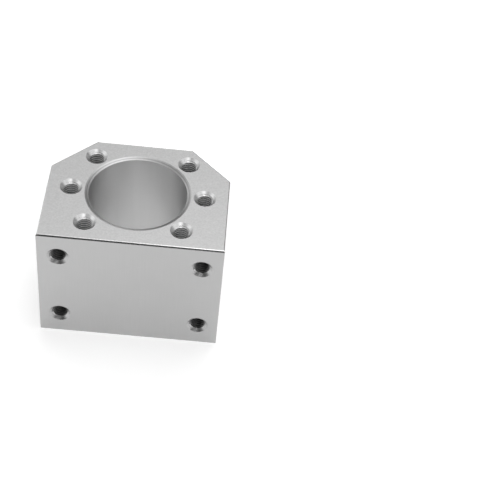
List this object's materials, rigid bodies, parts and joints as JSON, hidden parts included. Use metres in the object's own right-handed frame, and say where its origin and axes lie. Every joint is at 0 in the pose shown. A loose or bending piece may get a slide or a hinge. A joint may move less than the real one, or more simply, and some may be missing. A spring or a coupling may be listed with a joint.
{
  "type": "ball screw nut housing",
  "caption": "Block housing that holds a flanged ball screw nut in its bore and bolts to a moving table by its flat face.",
  "frame": {"origin": "bore axis in the plain end face, which is the middle of the block's underside", "axes": "+Z along the bore, out of the flange face; -Y out of the mounting face; X across the side faces"},
  "size_m": [0.052, 0.04, 0.04],
  "materials": {
    "aluminium": "matte grained flange face and narrow face, satin sides, mounting face and bore"
  },
  "bodies": {
    "root": {"nut_housing": "aluminium"}
  },
  "joints": []
}
